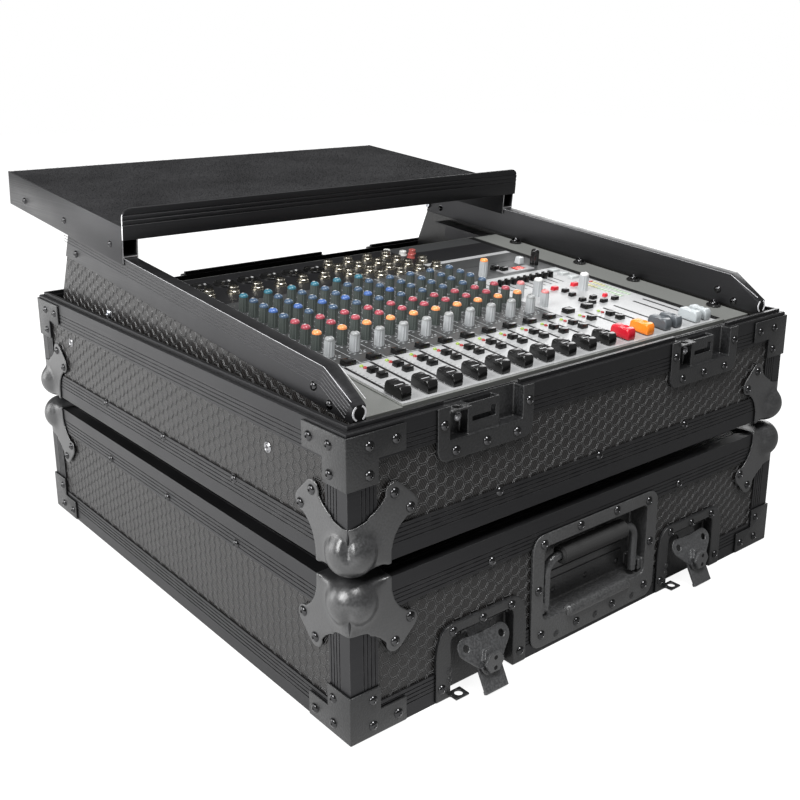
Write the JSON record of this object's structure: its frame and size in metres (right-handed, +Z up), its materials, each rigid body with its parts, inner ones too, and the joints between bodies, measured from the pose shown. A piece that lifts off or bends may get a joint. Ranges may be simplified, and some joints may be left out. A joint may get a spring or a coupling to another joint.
{
  "type": "slant mixer flight case",
  "caption": "Black flight case: tray with a sloping rack mixer and a laptop shelf that slides over it, standing on its lid, with latches that swing and turn and a sprung carrying handle.",
  "frame": {"origin": "centre of the whole model's box at the lid's open rim, which stands on the floor", "axes": "+X to the right seen from the front, +Y from the handle side to the back, +Z up"},
  "size_m": [0.5602, 0.6752, 0.3693],
  "materials": {
    "black_steel": "black powder coat, satin",
    "black_aluminium": "black anodised, ridged",
    "laminated_plywood": "black laminate with a honeycomb relief outside",
    "carpeted_plywood": "black carpet skin",
    "black_rubber": "moulded, matt",
    "mixer_steel": "dark olive grey paint"
  },
  "bodies": {
    "lid": {"lid_edge_frame": "black_aluminium", "lid_rim_frame": "black_aluminium", "lid_top_panel": "laminated_plywood", "lid_front_panel": "laminated_plywood", "lid_back_panel": "laminated_plywood", "lid_left_panel": "laminated_plywood", "lid_right_panel": "laminated_plywood", "lid_ball_corner_fl": "black_steel", "lid_ball_corner_fr": "black_steel", "lid_ball_corner_bl": "black_steel", "lid_ball_corner_br": "black_steel", "lid_corner_brace_fl": "black_steel", "lid_corner_brace_fr": "black_steel", "lid_corner_brace_bl": "black_steel", "lid_corner_brace_br": "black_steel", "latch_dish_fl": "black_steel", "latch_dish_fr": "black_steel", "latch_dish_bl": "black_steel", "latch_dish_br": "black_steel", "handle_dish": "black_steel"},
    "tray": {"tray_edge_frame": "black_aluminium", "tray_rim_frame": "black_aluminium", "tray_floor_panel": "laminated_plywood", "tray_front_panel": "laminated_plywood", "tray_back_panel": "laminated_plywood", "tray_left_panel": "laminated_plywood", "tray_right_panel": "laminated_plywood", "tray_ball_corner_fl": "black_steel", "tray_ball_corner_fr": "black_steel", "tray_ball_corner_bl": "black_steel", "tray_ball_corner_br": "black_steel", "tray_corner_brace_fl": "black_steel", "tray_corner_brace_fr": "black_steel", "tray_corner_brace_bl": "black_steel", "tray_corner_brace_br": "black_steel", "catch_plate_fl": "black_steel", "catch_plate_fr": "black_steel", "catch_plate_bl": "black_steel", "catch_plate_br": "black_steel", "rack_side_left": "laminated_plywood", "rack_side_right": "laminated_plywood", "side_trim_left": "black_aluminium", "side_trim_right": "black_aluminium", "rack_rail_left": "black_steel", "rack_rail_right": "black_steel", "rack_mixer": "mixer_steel"},
    "shelf": {"shelf_board": "carpeted_plywood", "shelf_rail_left": "black_aluminium", "shelf_rail_right": "black_aluminium", "shelf_front_lip": "black_aluminium"},
    "latch_hook_fl": {"latch_hook_fl": "black_steel"},
    "latch_wing_fl": {"latch_wing_fl": "black_steel"},
    "latch_hook_fr": {"latch_hook_fr": "black_steel"},
    "latch_wing_fr": {"latch_wing_fr": "black_steel"},
    "latch_hook_bl": {"latch_hook_bl": "black_steel"},
    "latch_wing_bl": {"latch_wing_bl": "black_steel"},
    "latch_hook_br": {"latch_hook_br": "black_steel"},
    "latch_wing_br": {"latch_wing_br": "black_steel"},
    "carry_handle": {"handle_bail": "black_steel", "handle_grip": "black_rubber"}
  },
  "joints": [
    {"name": "tray_lift", "type": "slide", "parent": "lid", "child": "tray", "axis": [0, 0, 1], "range_m": [0, 0.3]},
    {"name": "shelf_slide", "type": "slide", "parent": "tray", "child": "shelf", "axis": [0, -0.9954, -0.0958], "range_m": [0, 0.285]},
    {"name": "latch_hook_fl_swing", "type": "hinge", "parent": "lid", "child": "latch_hook_fl", "pos_m": [-0.138, -0.31084, 0.049], "axis": [-1, 0, 0], "range_deg": [-27.95, 62]},
    {"name": "latch_wing_fl_turn", "type": "hinge", "parent": "latch_hook_fl", "child": "latch_wing_fl", "pos_m": [-0.138, -0.32377, 0.02462], "axis": [0, -0.8834, 0.4686], "range_deg": [0, 180]},
    {"name": "latch_hook_fr_swing", "type": "hinge", "parent": "lid", "child": "latch_hook_fr", "pos_m": [0.138, -0.31084, 0.049], "axis": [-1, 0, 0], "range_deg": [-27.95, 62]},
    {"name": "latch_wing_fr_turn", "type": "hinge", "parent": "latch_hook_fr", "child": "latch_wing_fr", "pos_m": [0.138, -0.32377, 0.02462], "axis": [0, -0.8834, 0.4686], "range_deg": [0, 180]},
    {"name": "latch_hook_bl_swing", "type": "hinge", "parent": "lid", "child": "latch_hook_bl", "pos_m": [-0.138, 0.23056, 0.049], "axis": [1, 0, 0], "range_deg": [-27.95, 62]},
    {"name": "latch_wing_bl_turn", "type": "hinge", "parent": "latch_hook_bl", "child": "latch_wing_bl", "pos_m": [-0.138, 0.24349, 0.02462], "axis": [0, 0.8834, 0.4686], "range_deg": [0, 180]},
    {"name": "latch_hook_br_swing", "type": "hinge", "parent": "lid", "child": "latch_hook_br", "pos_m": [0.138, 0.23056, 0.049], "axis": [1, 0, 0], "range_deg": [-27.95, 62]},
    {"name": "latch_wing_br_turn", "type": "hinge", "parent": "latch_hook_br", "child": "latch_wing_br", "pos_m": [0.138, 0.24349, 0.02462], "axis": [0, 0.8834, 0.4686], "range_deg": [0, 180]},
    {"name": "handle_swing", "type": "hinge", "parent": "lid", "child": "carry_handle", "pos_m": [0, -0.31214, 0.038], "axis": [1, 0, 0], "range_deg": [0, 90], "stiffness_Nm_per_rad": 0.2, "springref_deg": -34.38}
  ]
}
